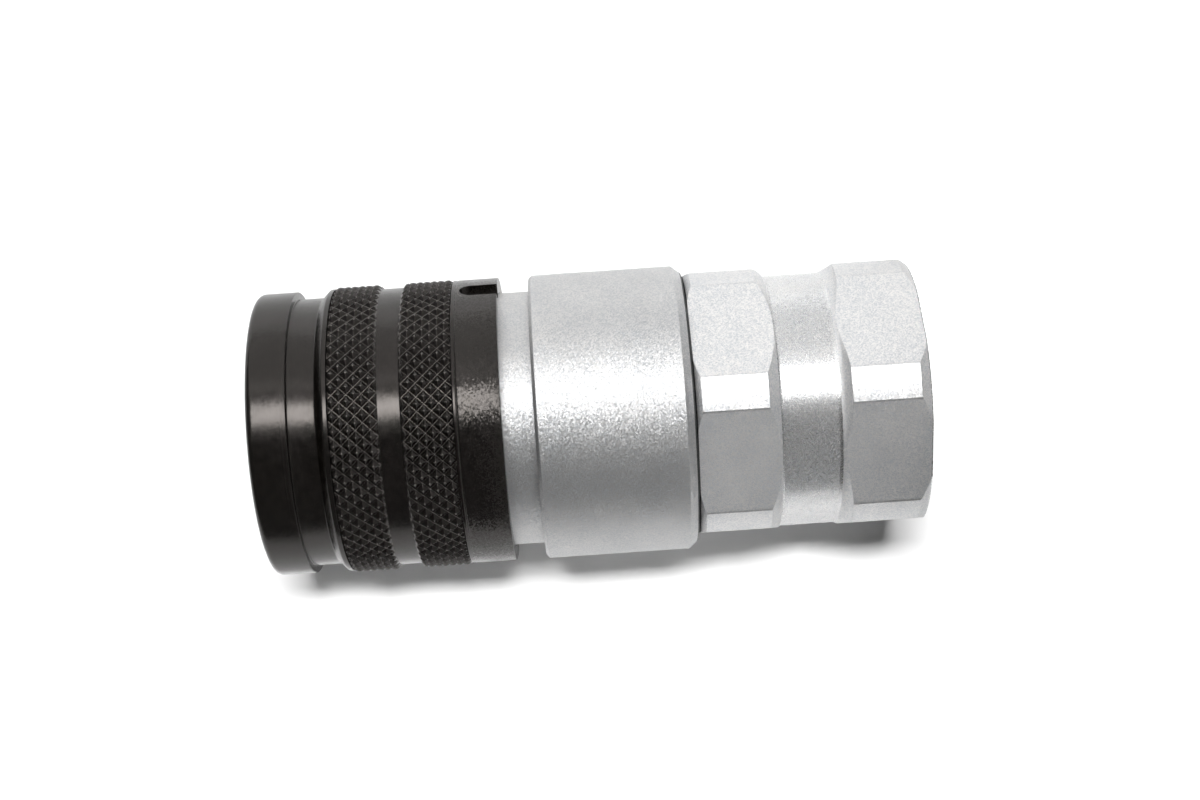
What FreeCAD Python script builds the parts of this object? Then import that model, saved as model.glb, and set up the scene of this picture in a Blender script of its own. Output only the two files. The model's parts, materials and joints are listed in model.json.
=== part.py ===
import FreeCAD, Part
import math
import os
import re

from FreeCAD import Placement, Rotation, Vector
from Sketcher import Constraint

# Female half of a flat face hydraulic quick coupler, released and standing on its port end.
# Z is the axis of every turned piece and runs from the port face, at 0, to the mouth.
# Lengths are in millimetres.

# Driving sizes: name, value, what it measures. Pieces are built outward from the probe.
SIZES = (
    ("probe_dia", 24.5, "mating probe and the valve tube that takes its place"),
    ("spigot_wall", 2.65, "coupler body, wall of the tube that carries the balls"),
    ("spring_gap", 0.45, "coupler body, neck beyond the sleeve spring's wire"),
    ("body_rise", 2.1, "coupler body, neck up to the outside"),
    ("body_wall", 3.15, "coupler body, wall over the adapter's nose"),
    ("body_length", 20.2, "coupler body, shoulder to the neck"),
    ("body_chamfer", 1.0, "coupler body, chamfer at the rear face, radially"),
    ("body_chamfer_length", 1.2, "coupler body, chamfer at the rear face, along the axis"),
    ("neck_length", 8.5, "coupler body, neck up to the spring step"),
    ("thread_relief", 0.3, "coupler body, thread beyond the nose"),
    ("spigot_step", 1.5, "coupler body, spring step to the chamber's front wall"),
    ("mouth_chamfer", 0.9, "coupler body, lead-in at the mouth"),
    ("ring_groove_depth", 3.2, "coupler body, mouth to the snap ring groove"),
    ("ring_groove_width", 1.2, "coupler body, snap ring groove"),
    ("ring_groove_cut", 0.95, "coupler body, snap ring groove, radially"),
    ("ball_web", 0.65, "coupler body, snap ring groove to the ball holes"),
    ("ball_dia", 4.0, "locking balls"),
    ("ball_count", 12, "locking balls in the row"),
    ("ball_lip", 0.2, "coupler body, lip at the inner end of each ball hole"),
    ("seal_web", 1.35, "coupler body, ball holes to the probe seal groove"),
    ("seal_groove_width", 3.8, "coupler body, probe seal groove"),
    ("seal_groove_cut", 1.4, "coupler body, probe seal groove, radially"),
    ("backup_width", 1.4, "backup ring beside the probe seal"),
    ("lock_ball_dia", 3.0, "ball that blocks the sleeve"),
    ("lock_ball_seat", 1.7, "coupler body, depth of that ball's pocket in the neck"),
    ("sleeve_stroke", 4.0, "release sleeve, travel to the body step"),
    ("sleeve_drop", 0.03, "release sleeve, body's outside down to the rear ring"),
    ("rear_ring_length", 5.8, "release sleeve, plain ring at the rear"),
    ("line_depth", 0.12, "release sleeve, fine line turned into the rear ring"),
    ("line_gap", 0.35, "release sleeve, that line to the rear knurled band"),
    ("knurl_rise", 0.13, "release sleeve, rear ring up to the tips of the knurled bands"),
    ("knurl_depth", 0.5, "release sleeve, tips down to the valleys of the knurled bands"),
    ("knurl_count", 64, "release sleeve, diamonds around a knurled band"),
    ("knurl_weld", 0.3, "release sleeve, knurled bands sunk into the turned blank"),
    ("rear_knurl_length", 6.8, "release sleeve, rear knurled band"),
    ("band_groove_cut", 0.6, "release sleeve, groove between the bands, radially"),
    ("band_groove_length", 2.8, "release sleeve, groove between the bands"),
    ("front_knurl_length", 6.4, "release sleeve, front knurled band"),
    ("thin_ring_drop", 0.07, "release sleeve, rear ring's radius down to the thin ring's"),
    ("thin_ring_length", 1.5, "release sleeve, thin ring before the neck"),
    ("sleeve_neck_cut", 1.0, "release sleeve, neck behind the collar, radially"),
    ("sleeve_neck_length", 3.5, "release sleeve, neck behind the collar"),
    ("collar_drop", 0.12, "release sleeve, rear ring's radius down to the collar's"),
    ("collar_length", 5.15, "release sleeve, front collar"),
    ("collar_round", 0.9, "release sleeve, rounded rim of the collar"),
    ("rim_overhang", 0.4, "release sleeve, rim beyond the body's mouth"),
    ("notch_gap", 0.175, "release sleeve, side gap of the lock ball in a notch"),
    ("notch_room", 0.9, "release sleeve, notches beyond the stroke"),
    ("ball_room", 0.15, "release sleeve, recess beyond the free balls"),
    ("land_gap", 0.2, "release sleeve, gap of the land that holds the balls in"),
    ("land_length", 4.45, "release sleeve, land that holds the balls in"),
    ("snap_ring_drop", 0.45, "snap ring, recess down to its outside"),
    ("seat_ring_thickness", 1.0, "washer between the sleeve and its spring"),
    ("sleeve_wire_dia", 1.5, "sleeve spring, wire"),
    ("sleeve_spring_turns", 4.5, "sleeve spring, turns"),
    ("flange_rise", 2.05, "valve tube, stop flange, radially"),
    ("flange_length", 2.0, "valve tube, stop flange"),
    ("tube_tail_length", 9.0, "valve tube, behind the stop flange"),
    ("tube_wall", 2.25, "valve tube, wall around the flow bore"),
    ("lip_wall", 4.2, "valve tube, wall of the lip that closes on the stem head"),
    ("tube_lip_length", 6.0, "valve tube, that lip"),
    ("tube_wire_dia", 1.4, "valve tube spring, wire"),
    ("tube_spring_turns", 4.0, "valve tube spring, turns"),
    ("head_reach", 1.0, "valve stem, head beyond the tube's lip"),
    ("head_cone_length", 6.6, "valve stem, cone behind the head"),
    ("stem_dia", 8.0, "valve stem, shaft"),
    ("stem_shoulder", 1.0, "valve stem, shaft down to its threaded tail"),
    ("tail_end", 0.6, "valve stem, tail beyond the nut"),
    ("stem_groove_cut", 2.0, "valve stem, seal groove, radially"),
    ("stem_groove_width", 2.4, "valve stem, seal groove"),
    ("stem_groove_depth", 1.8, "valve stem, front face to the seal groove"),
    ("spider_thickness", 3.0, "spider that carries the stem"),
    ("hub_wall", 1.8, "spider, hub around the stem's tail"),
    ("flow_rim", 0.6, "spider, flow holes to the edge of the passage"),
    ("flow_hole_count", 6, "spider, flow holes"),
    ("nut_wall", 2.0, "stem nut, tail to the flats"),
    ("nut_height", 3.2, "stem nut"),
    ("hex_across_flats", 34.0, "port adapter, across the wrench flats"),
    ("corner_cut", 1.13, "port adapter, sharp corners down to the turned ones"),
    ("corner_chamfer", 1.1, "port adapter, chamfers of the corners, radially"),
    ("end_chamfer_length", 1.4, "port adapter, chamfer at the port face"),
    ("rear_hex_length", 8.7, "port adapter, straight corners of the rear hexagon"),
    ("waist_step", 1.7, "port adapter, corners down to the groove between them"),
    ("waist_length", 7.0, "port adapter, straight floor of that groove"),
    ("front_hex_length", 8.4, "port adapter, straight corners of the front hexagon"),
    ("shoulder_chamfer_length", 0.9, "port adapter, chamfer at the shoulder"),
    ("nose_length", 9.2, "port adapter, shoulder to the end of the threaded nose"),
    ("nose_lead", 0.6, "port adapter, chamfer at the end of the nose"),
    ("nose_groove_cut", 1.5, "port adapter, seal groove, radially"),
    ("nose_groove_start", 0.4, "port adapter, shoulder to the seal groove"),
    ("nose_groove_width", 2.2, "port adapter, seal groove"),
    ("port_dia", 19.05, "hose port, nominal thread"),
    ("port_seat_rise", 0.775, "hose port, seal seat at the face, radially"),
    ("port_seat_depth", 2.5, "hose port, depth of the seal seat"),
    ("port_depth", 16.5, "hose port, face to the end of the thread"),
    ("passage_length", 4.5, "port adapter, flow passage up to the spider"),
    ("spider_ledge", 2.2, "port adapter, ledge that the spider sits on"),
    ("tail_gap", 0.35, "port adapter, radial gap around the valve tube's tail"),
    ("circlip_cut", 0.8, "port adapter, circlip groove, radially"),
    ("circlip_groove_width", 1.2, "port adapter, circlip groove"),
    ("circlip_gap", 0.275, "circlip, radial gap around the valve tube spring"),
    ("circlip_opening", 40.0, "circlip and snap ring, opening in degrees"),
    ("edge_break", 0.4, "broken edges of the body, sleeve and tube"),
    ("slide_gap", 0.1, "radial gap of the sleeve, washer and flange"),
    ("fit_gap", 0.05, "radial gap of close fits and threads"),
    ("seal_gap", 0.02, "gap of the soft rings and springs to their seats"),
)

# Derived sizes: name, formula. Heights start at the port face in the adapter and spider,
# and at the rear face of the piece in the others.
STATIONS = (
    ("socket_dia", "probe_dia + 2 * fit_gap"),
    ("spigot_dia", "socket_dia + 2 * spigot_wall"),
    ("neck_dia", "spigot_dia + 2 * (sleeve_wire_dia + spring_gap)"),
    ("body_dia", "neck_dia + 2 * body_rise"),
    ("body_face_dia", "body_dia - 2 * body_chamfer"),
    ("nose_dia", "body_dia - 2 * body_wall"),
    ("nose_groove_dia", "nose_dia - 2 * nose_groove_cut"),
    ("hex_corner_dia", "2 * (hex_across_flats / sqrt(3) - corner_cut)"),
    ("hex_face_dia", "hex_corner_dia - 2 * corner_chamfer"),
    ("waist_dia", "hex_corner_dia - 2 * waist_step"),
    ("port_seat_dia", "port_dia + 2 * port_seat_rise"),
    ("adapter_bore_dia", "probe_dia + 2 * tail_gap"),
    ("circlip_groove_dia", "adapter_bore_dia + 2 * circlip_cut"),
    ("passage_dia", "adapter_bore_dia - 2 * spider_ledge"),
    ("rear_hex_top", "end_chamfer_length + rear_hex_length"),
    ("waist_bottom", "rear_hex_top + waist_step"),
    ("waist_top", "waist_bottom + waist_length"),
    ("front_hex_bottom", "waist_top + waist_step"),
    ("front_hex_top", "front_hex_bottom + front_hex_length"),
    ("shoulder", "front_hex_top + shoulder_chamfer_length"),
    ("nose_top", "shoulder + nose_length"),
    ("nose_groove_bottom", "shoulder + nose_groove_start"),
    ("nose_groove_top", "nose_groove_bottom + nose_groove_width"),
    ("spider_seat", "port_depth + passage_length"),
    ("spider_top", "spider_seat + spider_thickness"),
    ("circlip_groove_top", "spider_top + circlip_groove_width"),
    ("rear_knurl_top", "rear_ring_length + rear_knurl_length"),
    ("band_groove_top", "rear_knurl_top + band_groove_length"),
    ("front_knurl_top", "band_groove_top + front_knurl_length"),
    ("thin_ring_top", "front_knurl_top + thin_ring_length"),
    ("sleeve_neck_top", "thin_ring_top + sleeve_neck_length"),
    ("rim", "sleeve_neck_top + collar_length"),
    ("spring_step", "body_length + neck_length"),
    ("mouth", "body_length + sleeve_stroke + fit_gap + rim - rim_overhang"),
    ("face_height", "shoulder + mouth"),
    ("thread_end", "nose_length + thread_relief"),
    ("chamber_top", "spring_step - spigot_step"),
    ("flange_dia", "probe_dia + 2 * flange_rise"),
    ("chamber_dia", "flange_dia + 2 * slide_gap"),
    ("ring_groove_dia", "spigot_dia - 2 * ring_groove_cut"),
    ("ring_groove_top", "mouth - ring_groove_depth"),
    ("ring_groove_bottom", "ring_groove_top - ring_groove_width"),
    ("ball_hole_dia", "ball_dia + 2 * fit_gap"),
    ("ball_lip_dia", "ball_dia - 2 * ball_lip"),
    ("ball_ring_dia", "socket_dia + ball_dia"),
    ("ball_row", "ring_groove_bottom - ball_web - ball_hole_dia / 2"),
    ("seal_groove_dia", "socket_dia + 2 * seal_groove_cut"),
    ("seal_groove_top", "ball_row - ball_hole_dia / 2 - seal_web"),
    ("seal_groove_bottom", "seal_groove_top - seal_groove_width"),
    ("lock_ball_row", "body_length + (sleeve_stroke + fit_gap) / 2"),
    ("lock_ball_ring_dia", "neck_dia - 2 * lock_ball_seat + lock_ball_dia"),
    ("sleeve_rear", "shoulder + body_length + sleeve_stroke + fit_gap"),
    ("sleeve_bore_dia", "neck_dia + 2 * slide_gap"),
    ("rear_ring_dia", "body_dia - 2 * sleeve_drop"),
    ("line_height", "rear_ring_length - line_gap"),
    ("knurl_dia", "rear_ring_dia + 2 * knurl_rise"),
    ("knurl_root_dia", "knurl_dia - 2 * knurl_depth"),
    ("knurl_seat_dia", "knurl_root_dia - 2 * knurl_weld"),
    ("band_groove_dia", "knurl_dia - 2 * band_groove_cut"),
    ("thin_ring_dia", "rear_ring_dia - 2 * thin_ring_drop"),
    ("collar_dia", "rear_ring_dia - 2 * collar_drop"),
    ("sleeve_neck_dia", "collar_dia - 2 * sleeve_neck_cut"),
    ("thin_ring_break", "(thin_ring_dia - sleeve_neck_dia) / 2"),
    ("notch_width", "lock_ball_dia + 2 * notch_gap"),
    ("notch_depth", "sleeve_stroke + notch_room"),
    ("recess_dia", "ball_ring_dia + ball_dia + 2 * ball_room"),
    ("land_dia", "spigot_dia + 2 * land_gap"),
    ("cam_reach", "(ball_dia / 2 + fit_gap) * sqrt(2) - (recess_dia - ball_ring_dia) / 2"),
    ("cam_top", "shoulder + ball_row - cam_reach - sleeve_rear"),
    ("land_top", "cam_top - (recess_dia - land_dia) / 2"),
    ("land_bottom", "land_top - land_length"),
    ("snap_ring_dia", "recess_dia - 2 * snap_ring_drop"),
    ("snap_ring_thickness", "ring_groove_width - fit_gap"),
    ("seat_ring_height", "sleeve_rear + land_bottom - seat_ring_thickness"),
    ("sleeve_spring_height", "seat_ring_height - shoulder - spring_step"),
    ("sleeve_spring_dia", "(spigot_dia + sleeve_bore_dia) / 2"),
    ("tube_height", "shoulder + chamber_top - flange_length - tube_tail_length"),
    ("tube_length", "face_height - tube_height"),
    ("tube_bore_dia", "probe_dia - 2 * tube_wall"),
    ("tube_flange_top", "tube_tail_length + flange_length"),
    ("tube_lip_dia", "probe_dia - 2 * lip_wall"),
    ("tube_lip_bottom", "tube_length - tube_lip_length"),
    ("tube_cone_bottom", "tube_lip_bottom - (tube_bore_dia - tube_lip_dia)"),
    ("tube_spring_height", "tube_height - spider_top"),
    ("tube_spring_dia", "(tube_bore_dia + probe_dia) / 2"),
    ("circlip_inner_dia", "tube_spring_dia + tube_wire_dia + 2 * circlip_gap"),
    ("circlip_thickness", "circlip_groove_width - fit_gap"),
    ("tail_dia", "stem_dia - 2 * stem_shoulder"),
    ("tail_length", "spider_thickness + nut_height + tail_end"),
    ("stem_height", "spider_top - tail_length"),
    ("stem_length", "face_height - stem_height"),
    ("head_dia", "tube_lip_dia - 2 * fit_gap"),
    ("head_bottom", "stem_length - tube_lip_length - head_reach"),
    ("head_cone_bottom", "head_bottom - head_cone_length"),
    ("stem_groove_dia", "head_dia - 2 * stem_groove_cut"),
    ("stem_groove_top", "stem_length - stem_groove_depth"),
    ("stem_groove_bottom", "stem_groove_top - stem_groove_width"),
    ("spider_dia", "adapter_bore_dia - 2 * fit_gap"),
    ("hub_dia", "tail_dia + 2 * hub_wall"),
    ("flow_hole_dia", "(passage_dia - 2 * flow_rim - hub_dia) / 2"),
    ("flow_ring_dia", "hub_dia + flow_hole_dia"),
    ("nut_across_flats", "tail_dia + 2 * nut_wall"),
    ("nut_chamfer", "nut_across_flats * (1 / sqrt(3) - 1 / 2)"),
    ("oring_dia", "seal_groove_cut - 2 * seal_gap"),
    ("oring_ring_dia", "seal_groove_dia - oring_dia - 2 * seal_gap"),
    ("nose_oring_dia", "nose_groove_cut - 2 * seal_gap"),
    ("nose_oring_ring_dia", "nose_groove_dia + nose_oring_dia + 2 * seal_gap"),
)

# Straight lengths in each turn of a spring
COIL_SIDES = 16

document = FreeCAD.newDocument("flat_face_coupler")


# Sheets

def fill_sheet(name, rows):
    """A sheet with one named value on each row: name in column A, value in column B."""
    sheet = document.addObject("Spreadsheet::Sheet", name)
    for row, (alias, content, note) in enumerate(rows, start=1):
        sheet.set(f"A{row}", alias)
        sheet.set(f"B{row}", content)
        sheet.set(f"C{row}", note)
        sheet.setAlias(f"B{row}", alias)
    return sheet


homes = {name: "Sizes" for name, _, _ in SIZES}
homes.update({name: "Stations" for name, _ in STATIONS})


def bound(formula):
    """The formula with each name pointed at the sheet that holds it."""
    return re.sub(
        r"[a-z_]+",
        lambda word: f"{homes[word[0]]}.{word[0]}" if word[0] in homes else word[0],
        formula,
    )


sizes = fill_sheet("Sizes", [(name, str(value), note) for name, value, note in SIZES])
fill_sheet("Stations", [(name, "=" + bound(formula), "") for name, formula in STATIONS])
document.recompute()


def value(formula):
    return float(sizes.evalExpression(bound(formula)))


# Sketches and features

def add_body(label, height="0"):
    """An empty body whose own origin lies on the axis at the given height."""
    body = document.addObject("PartDesign::Body", label)
    body.Label = label
    body.setExpression("Placement.Base.z", bound(height))
    return body


def add_sketch(body, name, role, offset=None):
    """A sketch on one of the body's origin planes, moved out along its normal by offset."""
    sketch = body.newObject("Sketcher::SketchObject", name)
    plane = next(item for item in body.Origin.OriginFeatures if item.Role == role)
    sketch.AttachmentSupport = [(plane, "")]
    sketch.MapMode = "FlatFace"
    if offset:
        sketch.setExpression("AttachmentOffset.Base.z", bound(offset))
    return sketch


def bulge_point(start, end, radius, side):
    """Middle of the short arc from start to end, on the left or the right of the chord."""
    chord = end - start
    half = chord.Length / 2
    rise = radius - (radius ** 2 - half ** 2) ** 0.5
    across = Vector(chord.y, -chord.x, 0).normalize()
    return (start + end) / 2 + across * rise * side


def draw_outline(sketch, outline):
    """Close the outline and bind each corner to its formulas.

    A corner is (across, up), or (across, up, radius, side) where the edge after it is an arc:
    side 1 bows to the right of the way along the outline, and side -1 to the left.
    """
    count = len(outline)
    corners = [Vector(value(item[0]), value(item[1]), 0) for item in outline]
    first = sketch.GeometryCount
    ends = []
    for index, item in enumerate(outline):
        start = corners[index]
        end = corners[(index + 1) % count]
        if len(item) == 2:
            sketch.addGeometry(Part.LineSegment(start, end), False)
            ends.append((1, 2))
            continue
        middle = bulge_point(start, end, value(item[2]), item[3])
        sketch.addGeometry(Part.Arc(start, middle, end), False)
        ends.append((1, 2) if item[3] > 0 else (2, 1))
    for index, item in enumerate(outline):
        after = (index + 1) % count
        edge = first + index
        sketch.addConstraint(
            Constraint("Coincident", edge, ends[index][1], first + after, ends[after][0])
        )
        for kind, axis, formula in zip(("DistanceX", "DistanceY"), "xy", item):
            size = getattr(corners[index], axis)
            number = sketch.addConstraint(Constraint(kind, -1, 1, edge, ends[index][0], size))
            sketch.renameConstraint(number, f"{axis}{edge}")
            sketch.setExpression(f"Constraints.{axis}{edge}", bound(formula))
        if len(item) > 2:
            number = sketch.addConstraint(Constraint("Radius", edge, value(item[2])))
            sketch.renameConstraint(number, f"round{edge}")
            sketch.setExpression(f"Constraints.round{edge}", bound(item[2]))


def draw_circle(sketch, dia, across="0", up="0"):
    """A circle bound to its diameter and to the place of its centre."""
    centre = Vector(value(across), value(up), 0)
    edge = sketch.addGeometry(Part.Circle(centre, Vector(0, 0, 1), value(dia) / 2), False)
    for kind, name, size in (("DistanceX", "x", across), ("DistanceY", "y", up)):
        number = sketch.addConstraint(Constraint(kind, -1, 1, edge, 3, value(size)))
        sketch.renameConstraint(number, f"{name}{edge}")
        sketch.setExpression(f"Constraints.{name}{edge}", bound(size))
    number = sketch.addConstraint(Constraint("Diameter", edge, value(dia)))
    sketch.renameConstraint(number, f"dia{edge}")
    sketch.setExpression(f"Constraints.dia{edge}", bound(dia))


def revolve(body, outline, opening=None):
    """Turn the outline, given as (radius, height) corners, about the body's axis."""
    sketch = add_sketch(body, "Profile", "XZ_Plane")
    draw_outline(sketch, outline)
    turned = body.newObject("PartDesign::Revolution", "Turned")
    turned.Profile = (sketch, [""])
    turned.ReferenceAxis = (sketch, ["V_Axis"])
    turned.Angle = 360
    if opening:
        turned.Midplane = True
        turned.setExpression("Angle", f"360 - {bound(opening)}")
    return turned


def cut_through(body, sketch, name):
    """Cut the sketch through everything on both sides of its plane."""
    pocket = body.newObject("PartDesign::Pocket", name)
    pocket.Profile = (sketch, [""])
    pocket.Type = "ThroughAll"
    pocket.Midplane = True
    return pocket


def repeat_round(body, feature, count):
    """Repeat the feature evenly about the body's axis."""
    pattern = body.newObject("PartDesign::PolarPattern", f"{feature.Name}_row")
    axis = next(item for item in body.Origin.OriginFeatures if item.Role == "Z_Axis")
    pattern.Originals = [feature]
    pattern.Axis = (axis, [""])
    pattern.Angle = 360
    pattern.setExpression("Occurrences", bound(count))
    body.Tip = pattern


def mill_hexagon(body, across_flats, top):
    """Take away all that stands outside a hexagon, up to the given height."""
    sketch = add_sketch(body, "Flats", "XY_Plane")
    corner = f"{across_flats} / sqrt(3)"
    side = f"{across_flats} / 2"
    hexagon = [
        (corner, "0"),
        (f"{corner} / 2", side),
        (f"-{corner} / 2", side),
        (f"-{corner}", "0"),
        (f"-{corner} / 2", f"-{side}"),
        (f"{corner} / 2", f"-{side}"),
    ]
    draw_outline(sketch, hexagon)
    draw_circle(sketch, f"{across_flats} * 2")
    milled = body.newObject("PartDesign::Pocket", "Milled")
    milled.Profile = (sketch, [""])
    milled.Reversed = True
    milled.setExpression("Length", bound(top))


# Turned outer pieces

def make_port_adapter():
    """Double hexagon with the hose port, the spider bore and the nose that closes the body."""
    body = add_body("port_adapter")
    revolve(body, [
        ("port_seat_dia / 2", "0"),
        ("hex_face_dia / 2", "0"),
        ("hex_corner_dia / 2", "end_chamfer_length"),
        ("hex_corner_dia / 2", "rear_hex_top", "waist_step", -1),
        ("waist_dia / 2", "waist_bottom"),
        ("waist_dia / 2", "waist_top"),
        ("hex_corner_dia / 2", "front_hex_bottom"),
        ("hex_corner_dia / 2", "front_hex_top"),
        ("hex_face_dia / 2", "shoulder"),
        ("nose_dia / 2", "shoulder"),
        ("nose_dia / 2", "nose_groove_bottom"),
        ("nose_groove_dia / 2", "nose_groove_bottom"),
        ("nose_groove_dia / 2", "nose_groove_top"),
        ("nose_dia / 2", "nose_groove_top"),
        ("nose_dia / 2", "nose_top - nose_lead"),
        ("nose_dia / 2 - nose_lead", "nose_top"),
        ("adapter_bore_dia / 2", "nose_top"),
        ("adapter_bore_dia / 2", "circlip_groove_top"),
        ("circlip_groove_dia / 2", "circlip_groove_top"),
        ("circlip_groove_dia / 2", "spider_top"),
        ("adapter_bore_dia / 2", "spider_top"),
        ("adapter_bore_dia / 2", "spider_seat"),
        ("passage_dia / 2", "spider_seat"),
        ("passage_dia / 2", "port_depth"),
        ("port_dia / 2", "port_depth"),
        ("port_dia / 2", "port_seat_depth"),
    ])
    mill_hexagon(body, "hex_across_flats", "shoulder")
    return body


def make_coupler_body():
    """Body with its neck, ball spigot and probe bore. Its own origin is its rear face."""
    body = add_body("coupler_body", "shoulder")
    revolve(body, [
        ("nose_dia / 2 + fit_gap", "0"),
        ("body_face_dia / 2", "0"),
        ("body_dia / 2", "body_chamfer_length"),
        ("body_dia / 2", "body_length - edge_break"),
        ("body_dia / 2 - edge_break", "body_length"),
        ("neck_dia / 2", "body_length"),
        ("neck_dia / 2", "spring_step"),
        ("spigot_dia / 2", "spring_step"),
        ("spigot_dia / 2", "ring_groove_bottom"),
        ("ring_groove_dia / 2", "ring_groove_bottom"),
        ("ring_groove_dia / 2", "ring_groove_top"),
        ("spigot_dia / 2", "ring_groove_top"),
        ("spigot_dia / 2", "mouth - edge_break"),
        ("spigot_dia / 2 - edge_break", "mouth"),
        ("socket_dia / 2 + mouth_chamfer", "mouth"),
        ("socket_dia / 2", "mouth - mouth_chamfer"),
        ("socket_dia / 2", "seal_groove_top"),
        ("seal_groove_dia / 2", "seal_groove_top"),
        ("seal_groove_dia / 2", "seal_groove_bottom"),
        ("socket_dia / 2", "seal_groove_bottom"),
        ("socket_dia / 2", "chamber_top"),
        ("chamber_dia / 2", "chamber_top"),
        ("chamber_dia / 2", "thread_end"),
        ("nose_dia / 2 + fit_gap", "thread_end"),
    ])
    bore_ball_holes(body)
    pocket = add_sketch(body, "Lock_ball_seat", "YZ_Plane", "fit_gap + lock_ball_seat - neck_dia / 2")
    draw_circle(pocket, "lock_ball_dia + 2 * fit_gap", "0", "lock_ball_row")
    seat = body.newObject("PartDesign::Pocket", "Lock_ball_pocket")
    seat.Profile = (pocket, [""])
    seat.setExpression("Length", bound("lock_ball_dia"))
    return body


def bore_ball_holes(body):
    """Radial holes that narrow to a lip at the bore, so that no ball can fall through."""
    sketch = add_sketch(body, "Ball_hole", "XZ_Plane")
    draw_outline(sketch, [
        ("socket_dia / 2 - ball_dia / 4", "ball_row"),
        ("spigot_dia / 2 + ball_dia / 4", "ball_row"),
        ("spigot_dia / 2 + ball_dia / 4", "ball_row + ball_hole_dia / 2"),
        ("ball_ring_dia / 2 - ball_dia / 4", "ball_row + ball_hole_dia / 2"),
        ("socket_dia / 2", "ball_row + ball_lip_dia / 2"),
        ("socket_dia / 2 - ball_dia / 4", "ball_row + ball_lip_dia / 2"),
    ])
    axis = sketch.GeometryCount
    start = Vector(value("socket_dia / 2"), value("ball_row"), 0)
    end = Vector(value("spigot_dia / 2"), value("ball_row"), 0)
    sketch.addGeometry(Part.LineSegment(start, end), True)
    sketch.addConstraint(Constraint("PointOnObject", axis, 1, 0))
    sketch.addConstraint(Constraint("PointOnObject", axis, 2, 0))
    hole = body.newObject("PartDesign::Groove", "Ball_hole_bore")
    hole.Profile = (sketch, [""])
    hole.ReferenceAxis = (sketch, ["Axis0"])
    hole.Angle = 360
    repeat_round(body, hole, "ball_count")


def make_sleeve_blank():
    """Turned sleeve with the ball cam inside and two notches in its rear edge."""
    body = add_body("sleeve_blank")
    revolve(body, [
        ("sleeve_bore_dia / 2", "0"),
        ("rear_ring_dia / 2 - edge_break", "0"),
        ("rear_ring_dia / 2", "edge_break"),
        ("rear_ring_dia / 2", "line_height - line_depth"),
        ("rear_ring_dia / 2 - line_depth", "line_height"),
        ("rear_ring_dia / 2", "line_height + line_depth"),
        ("rear_ring_dia / 2", "rear_ring_length"),
        ("knurl_seat_dia / 2", "rear_ring_length"),
        ("knurl_seat_dia / 2", "rear_knurl_top"),
        ("band_groove_dia / 2", "rear_knurl_top"),
        ("band_groove_dia / 2", "band_groove_top"),
        ("knurl_seat_dia / 2", "band_groove_top"),
        ("knurl_seat_dia / 2", "front_knurl_top"),
        ("thin_ring_dia / 2", "front_knurl_top"),
        ("thin_ring_dia / 2", "thin_ring_top - thin_ring_break"),
        ("sleeve_neck_dia / 2", "thin_ring_top"),
        ("sleeve_neck_dia / 2", "sleeve_neck_top"),
        ("collar_dia / 2", "sleeve_neck_top"),
        ("collar_dia / 2", "rim - collar_round", "collar_round", 1),
        ("collar_dia / 2 - collar_round", "rim"),
        ("recess_dia / 2 + edge_break", "rim"),
        ("recess_dia / 2", "rim - edge_break"),
        ("recess_dia / 2", "cam_top"),
        ("land_dia / 2", "land_top"),
        ("land_dia / 2", "land_bottom"),
        ("sleeve_bore_dia / 2", "land_bottom"),
    ])
    sketch = add_sketch(body, "Notch", "YZ_Plane")
    draw_outline(sketch, [
        ("notch_width / 2", "-notch_depth"),
        ("notch_width / 2", "notch_depth - notch_width / 2", "notch_width / 2", 1),
        ("0", "notch_depth", "notch_width / 2", 1),
        ("-notch_width / 2", "notch_depth - notch_width / 2"),
        ("-notch_width / 2", "-notch_depth"),
    ])
    cut_through(body, sketch, "Notches")
    return body


def make_knurled_band(label, height, length):
    """Ring of small pyramids between valleys that run both ways around.

    Its points lie on a grid of half diamonds: those whose column and row add up to an even
    number lie in the valleys, and the others are the tips.
    """
    columns = 2 * int(value("knurl_count"))
    rows = round(value(length) * columns / (math.pi * value("knurl_dia")))
    root = value("knurl_root_dia") / 2
    inner = value("knurl_seat_dia") / 2 - value("knurl_weld")

    def point(column, row, radius):
        angle = 2 * math.pi * column / columns
        return Vector(radius * math.cos(angle), radius * math.sin(angle), value(length) * row / rows)

    faces = []
    for row in range(rows + 1):
        for column in range((row + 1) % 2, columns, 2):
            around = [point(column - 1, row, root), point(column, row - 1, root)]
            around += [point(column + 1, row, root), point(column, row + 1, root)]
            if row == 0:
                corners = [(around[0], around[2], around[3])]
            elif row == rows:
                corners = [(around[2], around[0], around[1])]
            else:
                tip = point(column, row, value("knurl_dia") / 2)
                corners = [(around[side - 1], around[side], tip) for side in range(4)]
            faces += [Part.Face(Part.makePolygon([*three, three[0]])) for three in corners]
    for row in (0, rows):
        rim = [point(column, row, root) for column in range(row % 2, columns + 2, 2)]
        hole = Part.Wire(Part.makeCircle(inner, point(0, row, 0)))
        faces.append(Part.makeFace([Part.makePolygon(rim), hole], "Part::FaceMakerBullseye"))
    faces.append(Part.makeCylinder(inner, value(length)).Faces[0])
    shell = Part.makeShell(faces)
    shell.sewShape()
    band = document.addObject("Part::Feature", label)
    band.Shape = Part.makeSolid(shell)
    band.setExpression("Placement.Base.z", bound(height))
    return band


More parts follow.
